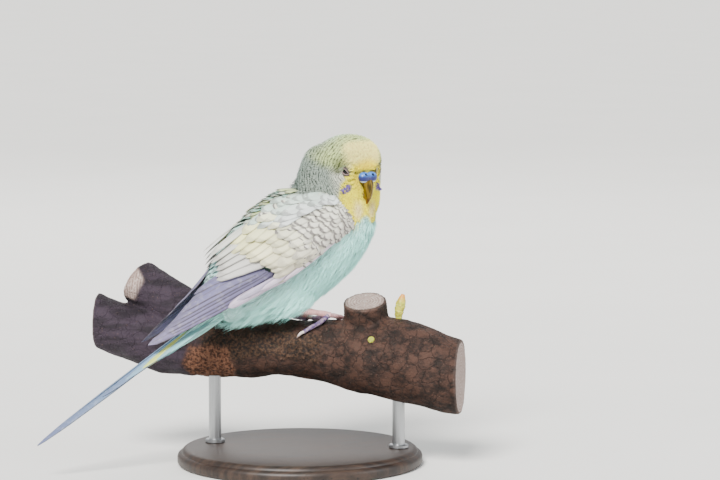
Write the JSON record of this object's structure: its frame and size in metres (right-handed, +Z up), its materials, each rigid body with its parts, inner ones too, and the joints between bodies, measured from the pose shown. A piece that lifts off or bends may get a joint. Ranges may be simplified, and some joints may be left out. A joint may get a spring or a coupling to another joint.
{
  "type": "budgerigar display model",
  "caption": "Life-size model of a perched pale blue and yellow-faced budgerigar on a cut length of branch, on a plain stand.",
  "frame": {"origin": "centre of the stand base's underside", "axes": "+Z up, +X the way the bird's body heads, +Y the bird's left"},
  "size_m": [0.1819, 0.108, 0.1368],
  "materials": {
    "face_plumage": "matt",
    "body_plumage": "matt",
    "wing_feathers": "satin",
    "tail_feathers": "satin",
    "eye": "gloss",
    "cere_skin": "satin",
    "bill_horn": "satin",
    "leg_skin": "satin",
    "claw_horn": "satin",
    "bark": "rough",
    "bud_leaf": "satin",
    "stand_base": "satin",
    "stand_rod": "brushed"
  },
  "bodies": {
    "root": {"head": "face_plumage", "neck": "body_plumage", "torso": "body_plumage", "cere": "cere_skin", "bill_upper": "bill_horn", "bill_lower": "bill_horn", "tail": "tail_feathers", "perch_branch": "bark", "perch_bud": "bud_leaf", "stand_base": "stand_base", "stand_rod_1": "stand_rod", "stand_rod_2": "stand_rod", "eye_right": "eye", "thigh_right": "body_plumage", "foot_right": "leg_skin", "wing_right": "wing_feathers", "claw_right_1": "claw_horn", "claw_right_2": "claw_horn", "claw_right_3": "claw_horn", "claw_right_4": "claw_horn", "eye_left": "eye", "thigh_left": "body_plumage", "foot_left": "leg_skin", "wing_left": "wing_feathers", "claw_left_1": "claw_horn", "claw_left_2": "claw_horn", "claw_left_3": "claw_horn", "claw_left_4": "claw_horn"}
  },
  "joints": []
}
